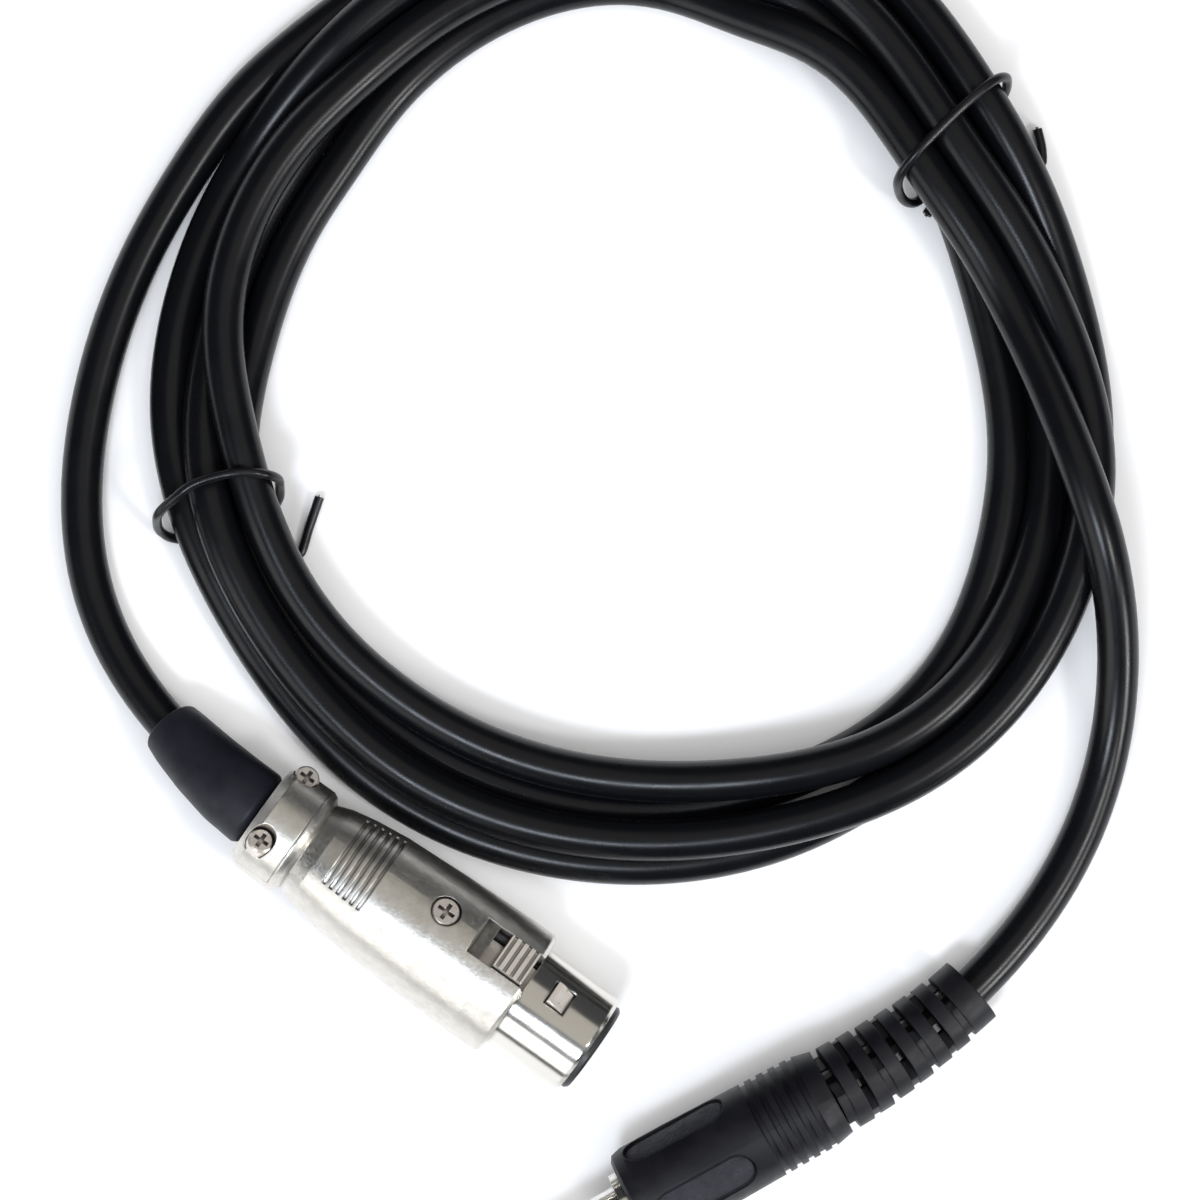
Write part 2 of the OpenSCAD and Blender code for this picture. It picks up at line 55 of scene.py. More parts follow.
UP = np.array([0.0, 0.0, 1.0])

# ---- places ------------------------------------------------------------------------------------------

RING_SHIFT = (0.8, -1.0)  # centre of the coil's solid, from the coil's own centre
ring_low, ring_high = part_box("cable_coil")
COIL = np.array([(ring_low.x + ring_high.x) / 2, (ring_low.y + ring_high.y) / 2, 0.0])
COIL[:2] -= np.array(RING_SHIFT) * MM

NOSE_AT = np.array([-5.4, -95.0, 10.1])  # front of the three-pole connector, on its axis
XLR_HEADING = -35.5  # degrees; the way its nose points
LATCH_ROLL = 28.0  # degrees; how far the latch leans off the top
SHELL_LEN = 57.4
NOSE_END = (12.2, 12.8)  # where the polish ends and the body's grain begins, back from the front
PLUG_AT = np.array([0.9, -117.6, 7.5])  # front of the plug's grip, on its axis
PLUG_HEADING = 28.8  # degrees; the way back along the plug
GRIP_R = 7.5


def to_row(points):
    """Places from the coil's centre in millimetres, in the row frame in metres."""
    return np.asarray(points, float) * MM + COIL


def local_frame(at, heading, roll):
    """A frame whose z runs back along a connector's axis and whose x points up from it."""
    place = Matrix.Translation(Vector(to_row(at)))
    turn = Matrix.Rotation(math.radians(heading), 4, "Z")
    tilt = Matrix.Rotation(math.radians(-roll), 4, "X")
    lay_down = Matrix.Rotation(math.radians(-90), 4, "Y")
    return place @ turn @ tilt @ lay_down


XLR_FRAME = local_frame(NOSE_AT, XLR_HEADING, LATCH_ROLL)
PLUG_FRAME = local_frame(PLUG_AT, PLUG_HEADING + 180, 0)
XLR_BACK = -np.array([math.cos(math.radians(XLR_HEADING)), math.sin(math.radians(XLR_HEADING)), 0])

# ---- camera ------------------------------------------------------------------------------------------

VIEW_CENTRE = (-3.7, -31.4)
VIEW_WIDTH = 171.4  # what the picture takes in, at the height of the connector's axis
CAMERA_HEIGHT = 650.0
SENSOR_MM = 36.0


def make_camera():
    data = bpy.data.cameras.new("camera")
    data.sensor_width = SENSOR_MM
    data.lens = SENSOR_MM * CAMERA_HEIGHT / VIEW_WIDTH
    data.clip_start = 0.01
    camera = bpy.data.objects.new("camera", data)
    camera.location = to_row([*VIEW_CENTRE, CAMERA_HEIGHT + NOSE_AT[2]])
    bpy.context.scene.collection.objects.link(camera)
    bpy.context.scene.camera = camera


make_camera()

# ---- mesh helpers ------------------------------------------------------------------------------------

SMOOTH_UP_TO = 40  # degrees; an edge that turns more than this stays sharp


def through(points, steps):
    """A smooth curve through the points, with some steps between each two."""
    p = np.asarray(points, float)
    p = np.vstack([p[:1], p, p[-1:]])
    t = np.linspace(0, 1, steps, endpoint=False)[:, None]
    parts = []
    for a, b, c, d in zip(p[:-3], p[1:-2], p[2:-1], p[3:]):
        square = (2 * a - 5 * b + 4 * c - d) * t**2
        cube = (3 * b - a - 3 * c + d) * t**3
        parts.append(0.5 * (2 * b + (c - a) * t + square + cube))
    return np.vstack([*parts, p[-1:]])


def lengths_along(path):
    steps = np.linalg.norm(np.diff(path, axis=0), axis=1)
    return np.concatenate([[0], np.cumsum(steps)])


def evenly(path, spacing):
    """The same path, with points about that far apart."""
    along = lengths_along(path)
    at = np.linspace(0, along[-1], round(along[-1] / spacing) + 1)
    return np.stack([np.interp(at, along, path[:, k]) for k in range(3)], axis=1)


def sides_of(path):
    """Two side vectors at each point of a path, turned as little as possible along it."""
    tangents = np.gradient(path, axis=0)
    tangents /= np.linalg.norm(tangents, axis=1)[:, None]
    side = np.cross(tangents[0], UP)
    sides = []
    for t in tangents:
        side = side - t * (side @ t)
        side /= np.linalg.norm(side)
        sides.append(side)
    sides = np.array(sides)
    return sides, np.cross(tangents, sides)


def rings_at(centres, sides, others, radii, count):
    """Rows of points round each centre."""
    angle = np.linspace(0, 2 * math.pi, count, endpoint=False)[None, :, None]
    out = np.cos(angle) * sides[:, None] + np.sin(angle) * others[:, None]
    return centres[:, None] + np.asarray(radii, float)[:, None, None] * out


def link(name, mesh):
    mesh.shade_smooth()
    mesh.set_sharp_from_angle(angle=math.radians(SMOOTH_UP_TO))
    piece = bpy.data.objects.new(name, mesh)
    bpy.context.scene.collection.objects.link(piece)
    return piece


def skin(name, rings, caps=True):
    """A surface through rows of points; its UV map has turns round it and metres along it."""
    rows, count = rings.shape[:2]
    across = [(j, (j + 1) % count) for j in range(count)]
    faces = [
        (k * count + j, k * count + i, (k + 1) * count + i, (k + 1) * count + j)
        for k in range(rows - 1)
        for j, i in across
    ]
    along = lengths_along(rings.mean(axis=1)) * MM
    corners = [
        (u, along[v])
        for k in range(rows - 1)
        for j in range(count)
        for u, v in ((j, k), (j + 1, k), (j + 1, k + 1), (j, k + 1))
    ]
    if caps:
        faces += [tuple(range(count - 1, -1, -1)), tuple((rows - 1) * count + j for j in range(count))]
        corners += [(0, 0)] * (2 * count)
    mesh = bpy.data.meshes.new(name)
    mesh.from_pydata(to_row(rings.reshape(-1, 3)).tolist(), [], faces)
    layer = mesh.uv_layers.new(name="along")
    flat = np.array([(u / count, v) for u, v in corners], float).ravel()
    layer.data.foreach_set("uv", flat)
    mesh.validate()
    return link(name, mesh)


def tube(name, path, radius, count=16):
    """A round tube along a path, closed at both ends."""
    sides, others = sides_of(path)
    return skin(name, rings_at(path, sides, others, np.full(len(path), radius), count))


def turned_along(name, path, profile, count=48):
    """A surface turned round a bent axis; the profile has pairs of (distance along, radius)."""
    along = lengths_along(path)
    sides, others = sides_of(path)
    at = [p[0] for p in profile]
    radii = [p[1] for p in profile]

    def pick(rows):
        return np.stack([np.interp(at, along, rows[:, k]) for k in range(3)], axis=1)

    return skin(name, rings_at(pick(path), pick(sides), pick(others), radii, count), caps=False)


def rounded(profile, size, steps=4):
    """The same profile with its corners rounded off; a corner next to a short side is rounded less."""
    p = np.asarray(profile, float)
    out = [p[0]]
    for before, corner, after in zip(p[:-2], p[1:-1], p[2:]):
        a, b = before - corner, after - corner
        reach = min(size, np.linalg.norm(a) / 2.2, np.linalg.norm(b) / 2.2)  # under half a side
        start = corner + a / np.linalg.norm(a) * reach
        end = corner + b / np.linalg.norm(b) * reach
        for t in np.linspace(0, 1, steps + 1):
            out.append((1 - t) ** 2 * start + 2 * t * (1 - t) * corner + t**2 * end)
    out.append(p[-1])
    return np.array(out)


# ---- cable -------------------------------------------------------------------------------------------

CABLE_D = 6.0
TAIL_XLR = [
    (-63, -52.2, 7.2), (-65.5, -49.5, 5.6), (-70.3, -44.2, 4.2), (-74.7, -38.3, 3.2), (-77.4, -31.3, 3),
    (-78.5, -24.2, 3), (-78.8, -17, 3), (-78.2, -10, 3), (-76.8, -3, 3), (-75, 4.5, 3),
    (-72.5, 12, 3), (-69.5, 19, 3), (-65, 26, 3), (-60, 33, 3), (-54.5, 39, 3), (-48.5, 45, 3),
]  # fmt: skip
TAIL_JACK = [
    (45.9, -90.9, 5.5), (49.8, -87.4, 5), (56, -81, 3.8), (61.5, -74.5, 3.1), (65, -68, 3), (68.4, -59.8, 3),
    (70.3, -50.4, 3.8), (70.8, -41.3, 7), (69.6, -31.6, 12.8), (66.7, -21, 17), (63, -11.5, 16.8),
]  # fmt: skip
BOOT_END = np.array(TAIL_XLR[1])

# The bundle's inner edge is a circle with a few slow waves: (waves a turn, height, phase in degrees).
INNER_R = 52.6
WAVES = [(1, 2.4, 64), (2, 1.6, 143), (3, 2.4, 121)]

# How the strands lie, clockwise from where the cable joins the bundle. Each line has an angle, and for
# each strand, the first laid first, its place in cable diameters: from the inner edge, and up.
LAY = [
    (130, [(2.78, 0.5), (2.35, 1.3), (1.7, 0.55), (1.5, 1.5), (0.72, 0.5)]),
    (90, [(2.76, 0.5), (2.26, 1.36), (1.76, 0.5), (1.27, 1.36), (0.76, 0.5)]),
    (60, [(2.9, 0.95), (1.9, 1.4), (2.1, 0.5), (1.15, 0.5), (0.74, 1.4)]),
    (37, [(2.42, 1.5), (1.42, 1.75), (1.9, 0.74), (0.88, 0.74), (0.45, 1.62)]),
    (10, [(2.55, 0.6), (2.05, 1.37), (1.54, 0.5), (0.55, 0.5), (1.05, 1.45)]),
    (-12, [(2.5, 0.5), (2.6, 1.4), (1.53, 0.5), (0.54, 0.5)]),
    (-45, [(1.78, 0.5), (2.15, 1.4), (1.25, 1.4), (0.78, 0.5)]),
    (-70, [(2.15, 0.5), (1.85, 1.35), (0.6, 1.4), (0.8, 0.5)]),
    (-90, [(2.55, 0.5), (2.0, 1.3), (0.52, 1.2), (1.3, 0.5)]),
    (-120, [(2.6, 0.5), (2.05, 1.3), (0.55, 1.25), (1.25, 0.5)]),
    (-143, [(2.0, 0.5), (1.52, 1.35), (0.5, 1.35), (1.0, 0.5)]),
    (-164, [(1.93, 0.5), (1.5, 1.35), (0.6, 1.45), (0.92, 0.5)]),
    (-190, [(2.25, 0.5), (1.4, 0.8), (1.42, 1.75), (0.55, 0.5)]),
    (-215, [(2.38, 0.5), (1.52, 0.85), (1.68, 1.8), (0.7, 0.5)]),
]
STRANDS = max(len(places) for _, places in LAY)
TURN = 360
LEAST_ANGLE = -100  # a tail's points have angles from here to a turn more
TAIL_XLR_ENDS = -130  # the first tail runs beside the bundle up to here, clockwise
COIL_ENDS = 10  # angle where the last strand becomes the plug's tail
STEP = 1.5  # degrees between two points of the coil
CURVE_STEPS = 12  # points made between two that are given
CABLE_STEP = 2.0  # millimetres between two rings of the cable's mesh
TIE_ANGLES = [(-163, 12), (34, 14)]  # where the ties pass under the bundle, and how far they lift it
TIE_LIFT = 1.5
SETTLE_ROUNDS = 400
SAG = 0.005  # millimetres that a strand sinks in a round
HOLD = 0.99  # share of its move that a strand keeps from one round to the next
ROOM = 1.01  # distance between two strands, in cable diameters
BEND_SHARE = 0.25  # how strongly a point follows its neighbours along the cable
EASE_BEFORE, EASE_AFTER = 4, 3  # how many points the smoothing spans, before settling and after it


def inner_edge(angle):
    """Radius of the bundle's inner edge."""
    waves = [size * np.cos(np.radians(n * angle + phase)) for n, size, phase in WAVES]
    return INNER_R + sum(waves)


def tail_knots(points, turns):
    """A tail's points as (angle wound clockwise, radius, height)."""
    x, y, z = np.array(points, float).T
    angle = np.degrees(np.arctan2(y, x))
    angle += TURN * (angle < LEAST_ANGLE)
    return np.stack([turns * TURN - angle, np.hypot(x, y), z], axis=1)


def coil_knots():
    """The strands' places as (angle wound clockwise, radius, height), in the order they are wound."""
    knots = []
    for turn in range(STRANDS):
        for angle, places in LAY:
            if turn < len(places):
                out, up = places[turn]
                knots.append((turn * TURN - angle, inner_edge(angle) + out * CABLE_D, up * CABLE_D))
    return [k for k in knots if k[0] <= (STRANDS - 1) * TURN - COIL_ENDS]


def floor_under(angle):
    """Height of a strand's middle when it rests on the table, or on a tie's wire."""
    height = np.full(len(angle), CABLE_D / 2)
    in_coil = angle < -TAIL_XLR_ENDS
    for at, spread in TIE_ANGLES:
        off = (angle - at + TURN / 2) % TURN - TURN / 2
        height += in_coil * TIE_LIFT * np.exp(-((off / spread) ** 2))
    return height


def settled(angle, radius, height):
    """The strands pushed apart where they would cut into each other, and let down onto what is below."""
    per_turn = round(TURN / STEP)
    wanted = np.stack([radius, height])
    floor = floor_under(angle)
    moved = np.zeros_like(wanted)
    for _ in range(SETTLE_ROUNDS):
        moved[1] -= SAG
        moved *= HOLD
        place = wanted + moved
        for turns in range(1, STRANDS):
            gap = place[:, turns * per_turn :] - place[:, : -turns * per_turn]
            apart = np.hypot(*gap)
            push = 0.5 * np.clip(CABLE_D * ROOM - apart, 0, None) / np.maximum(apart, 0.1) * gap
            moved[:, turns * per_turn :] += push
            moved[:, : -turns * per_turn] -= push
        moved[1] = np.maximum(moved[1], floor - wanted[1])
        inside = moved[:, 1:-1]
        inside += BEND_SHARE * (moved[:, 2:] + moved[:, :-2] - 2 * inside)
    return wanted + moved


def eased(values, spread):
    """The values smoothed along the cable; both ends stay where they are."""
    reach = 4 * spread
    weights = np.exp(-0.5 * (np.arange(-reach, reach + 1) / spread) ** 2)
    start = 2 * values[0] - values[reach:0:-1]
    end = 2 * values[-1] - values[-2 : -reach - 2 : -1]
    return np.convolve(np.concatenate([start, values, end]), weights / weights.sum(), "valid")


def cable_path():
    """The whole cable's middle line, from the boot to the plug."""
    first, last = tail_knots(TAIL_XLR, 0)[:-1], tail_knots(TAIL_JACK, STRANDS - 1)[::-1]
    fine = through([*first, *coil_knots(), *last], CURVE_STEPS)
    wound = np.arange(fine[0, 0], fine[-1, 0], STEP)
    lay = [eased(np.interp(wound, fine[:, 0], fine[:, k]), EASE_BEFORE) for k in (1, 2)]
    radius, height = (eased(values, EASE_AFTER) for values in settled(-wound, *lay))
    turned = np.radians(-wound)
    path = np.stack([radius * np.cos(turned), radius * np.sin(turned), height], axis=1)
    return evenly(path, CABLE_STEP)


cable_line = cable_path()
cable = tube("microphone_cable", cable_line, CABLE_D / 2, count=24)

# ---- boot --------------------------------------------------------------------------------------------

BOOT_FROM = 50.0  # where the piece starts inside the clamp, along the connector's axis
BOOT_LEN = 18.5
BOOT_BEND = 0.42  # how far it aims straight out of the clamp, as a share of its length
BOOT_CORNER = 0.6
BOOT_PROFILE = [
    (1, 4.55), (7.4, 4.55), (7.5, 5.3), (8.2, 5.85), (13, 5.7), (18.5, 5.25), (23.5, 4.75),
    (25.9, 4.35), (26, 3.5), (25.2, 3.06), (20, 3.06),
]  # fmt: skip


def boot_path():
    """Straight out of the clamp, then down to where the cable's route starts."""
    clamp = [NOSE_AT + u * XLR_BACK for u in (BOOT_FROM, SHELL_LEN)]
    start, middle = clamp[1], NOSE_AT + (SHELL_LEN + BOOT_BEND * BOOT_LEN) * XLR_BACK
    t = np.linspace(0, 1, 20)[1:, None]
    bend = (1 - t) ** 2 * start + 2 * t * (1 - t) * middle + t**2 * BOOT_END
    return np.vstack([clamp[0], clamp[1], bend])


boot = turned_along("strain_relief_boot", boot_path(), rounded(BOOT_PROFILE, BOOT_CORNER))

# ---- wire ties ---------------------------------------------------------------------------------------

TIE_D = 1.4
TIE_CORE_D = 0.5
TIE_CORE_OUT = 0.3  # how far the steel stands out of the cut coating
TIE_STEP = 0.6
TIE_LEFT = [
    (-44.3, -16.5, 1.4), (-45.8, -20.8, 1), (-47.2, -24.8, 0.8), (-49, -24.2, 0.75), (-56, -22.8, 0.75),
    (-64.5, -22.6, 0.75), (-67, -21.6, 3), (-67.3, -20.2, 6.6), (-66.5, -18.8, 10.6), (-64, -16.8, 13.2),
    (-61.5, -15, 13.9), (-58, -13.8, 14), (-54.5, -13.3, 13.9), (-51.4, -13.5, 12.9), (-49.7, -14.1, 10.2),
    (-49.7, -15.2, 6.4), (-50, -16.6, 3.2), (-51.2, -18, 1), (-54, -18.7, 0.75), (-60, -18.9, 0.75),
]  # fmt: skip
TIE_RIGHT = [
    (59.6, 36.8, 1.3), (60.3, 33.7, 1), (59.9, 31.4, 0.8), (56, 31.6, 0.75), (52, 32.6, 0.75),
    (48.4, 32.2, 0.75), (45.2, 29.6, 0.75), (42.4, 26.4, 1), (40.4, 26.1, 3.6), (39.2, 27.3, 7),
    (39, 28.9, 10.9), (40.9, 31.7, 13.3), (44.8, 35.8, 13.9), (49, 39.8, 13.9), (52.2, 42.4, 13),
    (54.2, 43.2, 10.5), (54.7, 42.5, 7.2), (54.6, 41.6, 4), (53.8, 40.4, 1.6), (51.8, 36.8, 0.75),
    (49.4, 33.2, 2.1), (46.4, 28.6, 0.75), (43.6, 24.4, 1),
]  # fmt: skip


def wire_tie(side, points):
    """A plastic-coated wire round the bundle; its steel core shows at both cut ends."""
    path = evenly(through(points, CURVE_STEPS), TIE_STEP)
    path[:, 2] = np.maximum(path[:, 2], TIE_D / 2)
    core = path.copy()
    for end, inner in ((0, 1), (-1, -2)):
        out = path[end] - path[inner]
        core[end] += TIE_CORE_OUT * out / np.linalg.norm(out)
    sheath = tube(f"tie_{side}_coating", path, TIE_D / 2)
    return sheath, tube(f"tie_{side}_core", core, TIE_CORE_D / 2, count=10)


tie_left = wire_tie("left", TIE_LEFT)
tie_right = wire_tie("right", TIE_RIGHT)

# ---- grip panels -------------------------------------------------------------------------------------

PANEL_TURNS = [25, 115, 205, 295]  # degrees round the plug from its top
PANEL_AT = 10.2  # middle of a panel along the plug's axis
PANEL_LEN = 15.4
PANEL_WIDTH = 5.0
PANEL_R = GRIP_R - 0.45  # a pad's face lies below the grip's surface
# Rows of points across a pad, from its skirt to its middle: (share of the outline, height).
PAD_ROWS = [(1, -0.5), (1, -0.12), (0.96, 0), (0.75, 0), (0.5, 0), (0.25, 0), (0.02, 0)]


def in_frame(local, points):
    """Places in a connector's frame, in millimetres, as places from the coil's centre."""
    matrix = np.array(local)
    row = np.asarray(points, float) * MM @ matrix[:3, :3].T + matrix[:3, 3]
    return (row - COIL) / MM


def grip_panel(name, angle):
    """An oval pad that follows the grip's roundness inside its recess."""
    straight = (PANEL_LEN - PANEL_WIDTH) / 2
    turn = np.linspace(0, 2 * math.pi, 64, endpoint=False)
    z = PANEL_WIDTH / 2 * np.cos(turn) + np.where(np.cos(turn) > 0, straight, -straight)
    y = PANEL_WIDTH / 2 * np.sin(turn)
    rings = []
    for share, height in PAD_ROWS:
        out = PANEL_R + height
        round_grip = math.radians(angle) + share * y / PANEL_R
        x, side = out * np.cos(round_grip), out * np.sin(round_grip)
        rings.append(in_frame(PLUG_FRAME, np.stack([x, side, PANEL_AT + share * z], axis=1)))
    return skin(name, np.array(rings))


panels = [grip_panel(f"grip_panel_{k + 1}", turn) for k, turn in enumerate(PANEL_TURNS)]

# ---- materials ---------------------------------------------------------------------------------------


class Surface:
    """A Principled material built up from procedural layers, in metres of the row frame."""

    def __init__(self, name, colour, roughness, metallic=0.0, **sockets):
        self.material = bpy.data.materials.new(name)
        self.material.use_nodes = True
        self.nodes = self.material.node_tree.nodes
        self.links = self.material.node_tree.links
        self.shader = self.nodes["Principled BSDF"]
        self.set(self.shader, Base_Color=(*colour, 1), Roughness=roughness, Metallic=metallic, **sockets)
        self.shade = (*colour, 1)
        self.place = self.nodes.new("ShaderNodeTexCoord").outputs["Object"]
        self.normal = None

    def set(self, node, **sockets):
        """Sets a node's inputs; a socket's name is written with _ for each space."""
        for name, value in sockets.items():
            node.inputs[name.replace("_", " ")].default_value = value

    def node(self, kind, **sockets):
        made = self.nodes.new(kind)
        self.set(made, **sockets)
        return made

    def noise(self, size, detail=3.0, rough=0.5, place=None):
        """Noise from 0 to 1 whose features are about that many millimetres wide."""
        made = self.node("ShaderNodeTexNoise", Scale=1 / (size * MM), Detail=detail, Roughness=rough)
        self.links.new(place or self.place, made.inputs["Vector"])
        return made.outputs["Fac"]

    def ranged(self, value, source, target):
        made = self.node("ShaderNodeMapRange", From_Min=source[0], From_Max=source[1])
        self.set(made, To_Min=target[0], To_Max=target[1])
        self.links.new(value, made.inputs["Value"])
        return made.outputs["Result"]

    def combined(self, operation, a, b):
        """A sum or a product of two values."""
        made = self.nodes.new("ShaderNodeMath")
        made.operation = operation
        self.links.new(a, made.inputs[0])
        self.links.new(b, made.inputs[1])
        return made.outputs[0]

    def tint(self, other, share):
        """Mixes the colour so far with another one, by a share that varies over the surface."""
        mix = self.nodes.new("ShaderNodeMix")
        mix.data_type = "RGBA"
        if isinstance(self.shade, tuple):
            mix.inputs["A"].default_value = self.shade
        else:
            self.links.new(self.shade, mix.inputs["A"])
        mix.inputs["B"].default_value = (*other, 1)
        self.links.new(share, mix.inputs["Factor"])
        self.shade = mix.outputs["Result"]
        self.links.new(self.shade, self.shader.inputs["Base Color"])

    def paint_recess_shade(self, other, reach, share):
        """Paints shade into grooves and recesses narrower than about that many millimetres: the colour
        darkens where ambient occlusion finds them closed in.
        """
        open_sky = self.node("ShaderNodeAmbientOcclusion", Distance=reach * MM).outputs["AO"]
        self.tint(other, self.ranged(open_sky, (0.35, 0.85), (share, 0)))

    def roughen(self, value):
        self.links.new(value, self.shader.inputs["Roughness"])

    def round_edges(self, radius):
        """Shades sharp edges as if they were rounded by that many millimetres."""
        self.normal = self.node("ShaderNodeBevel", Radius=radius * MM).outputs["Normal"]
        self.links.new(self.normal, self.shader.inputs["Normal"])

    def bump(self, height, depth, strength=1.0):
        """Adds relief of that depth in millimetres to the surface."""
        made = self.node("ShaderNodeBump", Distance=depth * MM)
        if isinstance(strength, float):
            made.inputs["Strength"].default_value = strength
        else:
            self.links.new(strength, made.inputs["Strength"])
        self.links.new(height, made.inputs["Height"])
        if self.normal is not None:
            self.links.new(self.normal, made.inputs["Normal"])
        self.normal = made.outputs["Normal"]
        self.links.new(self.normal, self.shader.inputs["Normal"])

    def along(self, local):
        """Distance back along a connector's axis, in metres."""
        origin, back = local.translation, local.col[2].to_3d()
        shift = self.nodes.new("ShaderNodeVectorMath")
        shift.operation = "SUBTRACT"
        shift.inputs[1].default_value = origin
        self.links.new(self.place, shift.inputs[0])
        dot = self.nodes.new("ShaderNodeVectorMath")
        dot.operation = "DOT_PRODUCT"
        dot.inputs[1].default_value = back
        self.links.new(shift.outputs["Vector"], dot.inputs[0])
        return dot.outputs["Value"]

    def stretched(self, around, along):
        """UV coordinates of a tube, scaled so that noise on them runs in streaks along it."""
        uv = self.nodes.new("ShaderNodeUVMap")
        uv.uv_map = "along"
        scale = self.nodes.new("ShaderNodeVectorMath")
        scale.operation = "MULTIPLY"
        scale.inputs[1].default_value = (around, along, 1)
        self.links.new(uv.outputs["UV"], scale.inputs[0])
        return scale.outputs["Vector"]


def casting(name, colour, shade):
    """Nickel on a zinc casting: grainy on the body, polished on the nose."""
    made = Surface(name, colour, 0.3, 0.98)
    made.round_edges(0.3)
    back = made.along(XLR_FRAME)
    body = made.ranged(back, [at * MM for at in NOSE_END], (0, 1))
    mottle = made.ranged(made.noise(1.6, 4.0, 0.6), (0.3, 0.7), (0, 0.5))
    made.tint(shade, made.combined("MULTIPLY", mottle, body))
    # painted shade: grooves and recesses darkened by ambient occlusion
    made.paint_recess_shade((0.09, 0.08, 0.07), 1.2, 0.9)
    satin = made.ranged(made.noise(0.5, 3.0), (0.3, 0.7), (0.12, 0.26))
    polish = made.ranged(made.noise(3.0), (0, 1), (0.14, 0.2))
    made.roughen(made.combined("ADD", made.combined("MULTIPLY", satin, body), polish))
    made.bump(made.noise(0.45, 3.0, 0.6), 0.03, made.ranged(body, (0, 1), (0.0, 0.8)))
    made.bump(made.noise(2.5, 1.0), 0.02, made.ranged(body, (0, 1), (0.0, 0.4)))
    return made


def plated(name, colour, roughness, scratch=0.25, metallic=1.0, edge=0.1):
    """Smooth plated metal with fine scratches; a lower metallic value makes it duller and paler."""
    made = Surface(name, colour, roughness, metallic)
    made.round_edges(edge)
    made.tint(tuple(0.8 * c for c in colour), made.ranged(made.noise(2.5, 4.0), (0.35, 0.75), (0, 0.6)))
    # painted shade: grooves and recesses darkened by ambient occlusion
    made.paint_recess_shade((0.05, 0.04, 0.035), 0.9, 0.9)
    made.roughen(made.ranged(made.noise(0.9, 4.0), (0.3, 0.7), (roughness * 0.8, roughness * 1.3)))
    made.bump(made.noise(0.25, 3.0), 0.004, scratch)
    return made


def plastic(name, colour, light, roughness, grain, depth, strength=0.5, edge=0.0, gloss=0.5):
    """Moulded plastic or rubber with a fine grain."""
    made = Surface(name, colour, roughness, Specular_IOR_Level=gloss)
    if edge:
        made.round_edges(edge)
    made.tint(light, made.ranged(made.noise(4.0, 4.0), (0.35, 0.75), (0, 0.7)))
    varied = (0.88 * roughness, min(1, 1.12 * roughness))
    made.roughen(made.ranged(made.noise(1.5, 3.0), (0.3, 0.7), varied))
    made.bump(made.noise(grain, 2.0), depth, strength)
    return made


def jacket(name, colour, light):
    """Extruded jacket with a soft shine: faint streaks along it and a little dust."""
    made = Surface(name, colour, 0.3, Specular_IOR_Level=0.26)
    dust = made.ranged(made.noise(0.35, 4.0, 0.7), (0.62, 0.8), (0, 0.12))
    made.tint(light, dust)
    made.roughen(made.ranged(made.noise(5.0, 4.0), (0.3, 0.7), (0.25, 0.32)))
    streaks = made.noise(1000.0, 2.0, place=made.stretched(14.0, 6.0))
    made.bump(streaks, 0.02, 0.2)
    made.bump(made.noise(0.5, 3.0), 0.004, 0.15)
    return made


surfaces = {
    "nickel_casting": casting("nickel_casting", (0.72, 0.7, 0.65), (0.5, 0.47, 0.43)),
    # the latch's paler colour is partly painted light: it brightens the button where the lamps leave it dark
    "latch_nickel": plated("latch_nickel", (0.78, 0.72, 0.65), 0.34, 0.2, 0.6, 0.05),
    "insert_plastic": plastic("insert_plastic", (0.012, 0.012, 0.013), (0.03, 0.03, 0.03), 0.42, 0.3, 0.02),
    "contact_metal": plated("contact_metal", (0.83, 0.66, 0.32), 0.22),
    "spring_steel": plated("spring_steel", (0.58, 0.58, 0.58), 0.25),
    "screw_steel": plated("screw_steel", (0.72, 0.66, 0.6), 0.3, 0.2, 0.7, 0.05),
    "boot_rubber": plastic(
        "boot_rubber", (0.006, 0.0064, 0.0105), (0.012, 0.0125, 0.019), 0.5, 0.25, 0.03, 0.6, gloss=0.3
    ),
    "cable_jacket": jacket("cable_jacket", (0.003, 0.0032, 0.0042), (0.02, 0.021, 0.026)),
    "core_red": plastic("core_red", (0.42, 0.02, 0.015), (0.5, 0.05, 0.03), 0.4, 0.5, 0.01),
    "core_white": plastic("core_white", (0.75, 0.74, 0.7), (0.62, 0.6, 0.55), 0.4, 0.5, 0.01),
    "copper_strand": plated("copper_strand", (0.8, 0.42, 0.25), 0.3, 0.6),
    "grip_pvc": plastic(
        "grip_pvc", (0.0035, 0.0035, 0.0052), (0.01, 0.01, 0.0135), 0.45, 0.3, 0.02, 0.5, 0.3, 0.28
    ),
    "inner_mould": plastic("inner_mould", (0.55, 0.53, 0.46), (0.45, 0.43, 0.37), 0.5, 0.5, 0.02),
    "plug_nickel": plated("plug_nickel", (0.78, 0.76, 0.72), 0.14, 0.15),
    "insulator_plastic": plastic(
        "insulator_plastic", (0.01, 0.01, 0.01), (0.03, 0.03, 0.03), 0.35, 0.3, 0.01
    ),
    "tie_pvc": plastic(
        "tie_pvc", (0.004, 0.004, 0.005), (0.012, 0.012, 0.014), 0.3, 0.6, 0.02, 0.3, gloss=0.35
    ),
    "tie_steel": plated("tie_steel", (0.6, 0.59, 0.57), 0.3),
}
panel_grain = plastic("panel_grain", (0.009, 0.009, 0.014), (0.024, 0.024, 0.034), 0.7, 0.4, 0.25, 1.0)

# ---- dressing the CAD nodes --------------------------------------------------------------------------


def slot_of_nodes():
    """The material slot of each CAD node, from the record."""
    return {row["node"]: row["material_slot"] for row in frame["record"]["subparts"]}


def paint(piece, slot, surface=None):
    piece.data.materials.clear()
    piece.data.materials.append((surface or surfaces[slot]).material)


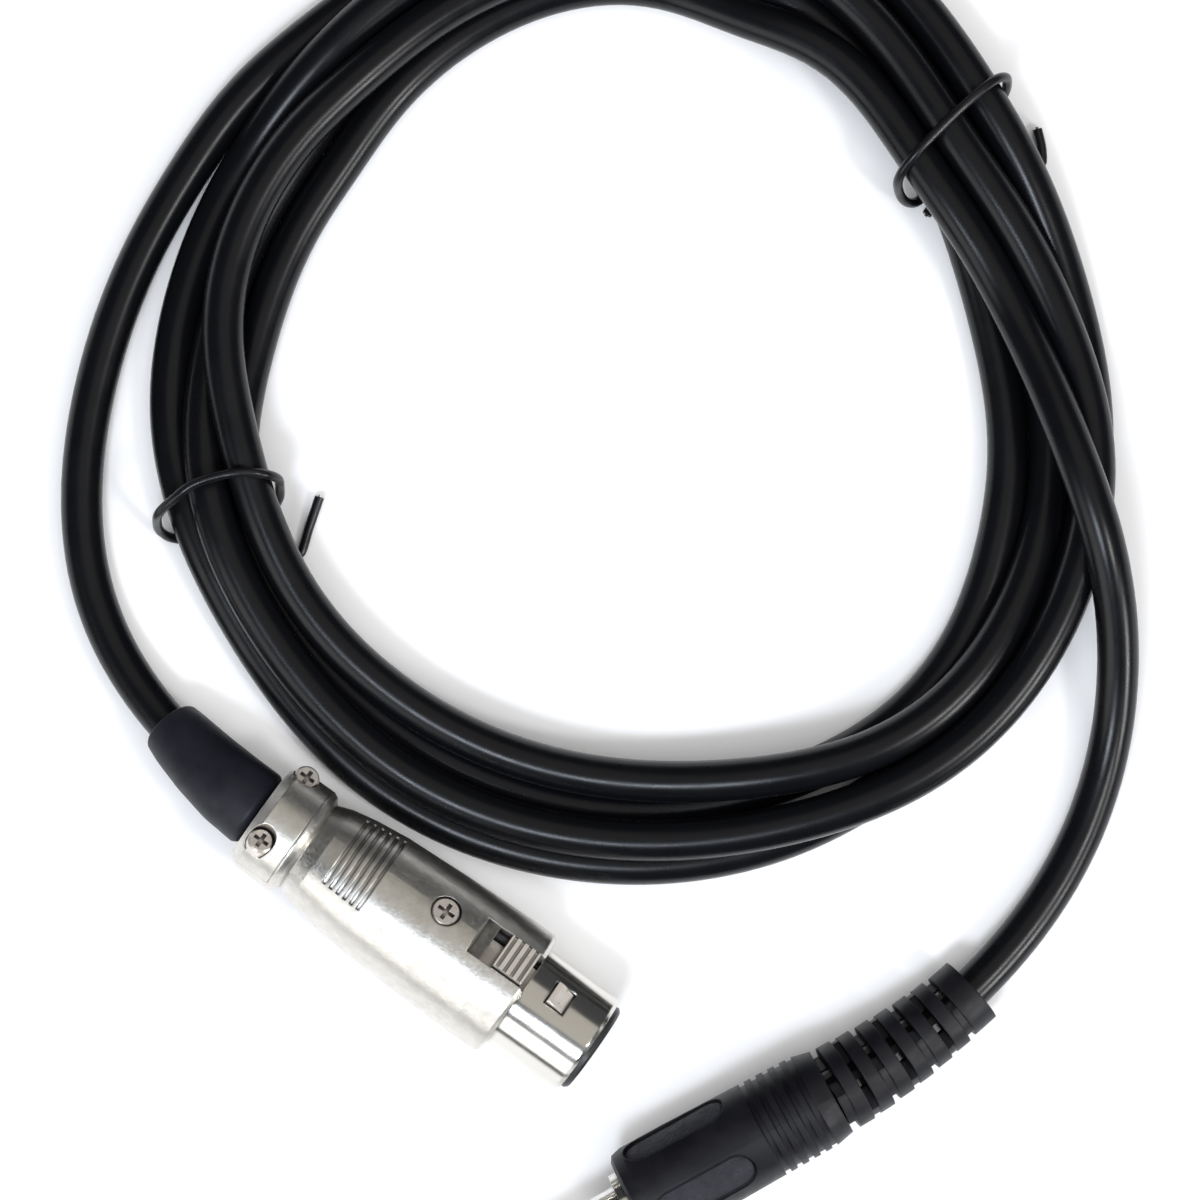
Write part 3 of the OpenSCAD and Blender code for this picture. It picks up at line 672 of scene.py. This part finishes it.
NEW_PIECES = [
    (boot, "boot_rubber", ["cable_boot"]),
    (cable, "cable_jacket", ["cable_coil", "cable_tail_xlr", "cable_tail_jack"]),
    (tie_left[0], "tie_pvc", ["tie_left_sheath"]),
    (tie_left[1], "tie_steel", ["tie_left_wire"]),
    (tie_right[0], "tie_pvc", ["tie_right_sheath"]),
    (tie_right[1], "tie_steel", ["tie_right_wire"]),
]

for node_name, slot_name in slot_of_nodes().items():
    paint(frame["nodes"][node_name], slot_name)
for piece, slot_name, stood_for in NEW_PIECES:
    paint(piece, slot_name)
    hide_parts(*stood_for)
    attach(piece, "lead")
for piece in panels:
    paint(piece, "grip_pvc", panel_grain)
    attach(piece, "lead")

# ---- floor, light and air ----------------------------------------------------------------------------


def floor():
    """A plain pale table, three metres across."""
    size = 1.5
    mesh = bpy.data.meshes.new("table_top")
    corners = [(-size, -size, 0), (size, -size, 0), (size, size, 0), (-size, size, 0)]
    mesh.from_pydata(corners, [], [(0, 1, 2, 3)])
    made = Surface("table_top", (0.86, 0.86, 0.87), 0.75)
    mesh.materials.append(made.material)
    top = bpy.data.objects.new("table_top", mesh)
    bpy.context.scene.collection.objects.link(top)


def softbox(name, azimuth, tilt, distance, size, glow, colour=(1, 1, 1), mirrored=True):
    """A rectangular light that looks at the coil; tilt is measured from straight above it."""
    data = bpy.data.lights.new(name, "AREA")
    data.shape = "RECTANGLE"
    data.size, data.size_y = size
    data.energy = glow * math.pi * size[0] * size[1]
    data.color = colour
    lamp = bpy.data.objects.new(name, data)
    a, t = math.radians(azimuth), math.radians(tilt)
    out = Vector((math.sin(t) * math.cos(a), math.sin(t) * math.sin(a), math.cos(t)))
    lamp.location = Vector(to_row([*VIEW_CENTRE, 0])) + distance * out
    lamp.rotation_mode = "QUATERNION"
    lamp.rotation_quaternion = out.to_track_quat("Z", "Y")
    lamp.visible_glossy = mirrored
    bpy.context.scene.collection.objects.link(lamp)


def surroundings(colour, strength):
    """Even light from the room behind the lamps."""
    world = bpy.data.worlds.new("room")
    world.use_nodes = True
    background = world.node_tree.nodes["Background"]
    background.inputs["Color"].default_value = (*colour, 1)
    background.inputs["Strength"].default_value = strength
    bpy.context.scene.world = world


floor()
softbox("sky_panel", 0, 0, 1.2, (1.6, 1.6), 1.7, mirrored=False)
softbox("ceiling_card", 54, 20, 1.3, (1.3, 1.3), 0.5, (1, 0.95, 0.86))
softbox("key_strip", 248, 27, 1.1, (0.26, 0.16), 38, (0.82, 0.89, 1))
softbox("side_strip", -32, 37, 1.1, (0.16, 0.16), 36)
softbox("right_box", -35, 65, 1.1, (0.2, 0.2), 30)
softbox("left_box", 222, 62, 1.2, (0.8, 0.7), 2.4)
surroundings((0.86, 0.93, 1.0), 0.05)
bpy.context.scene.view_settings.view_transform = "Standard"
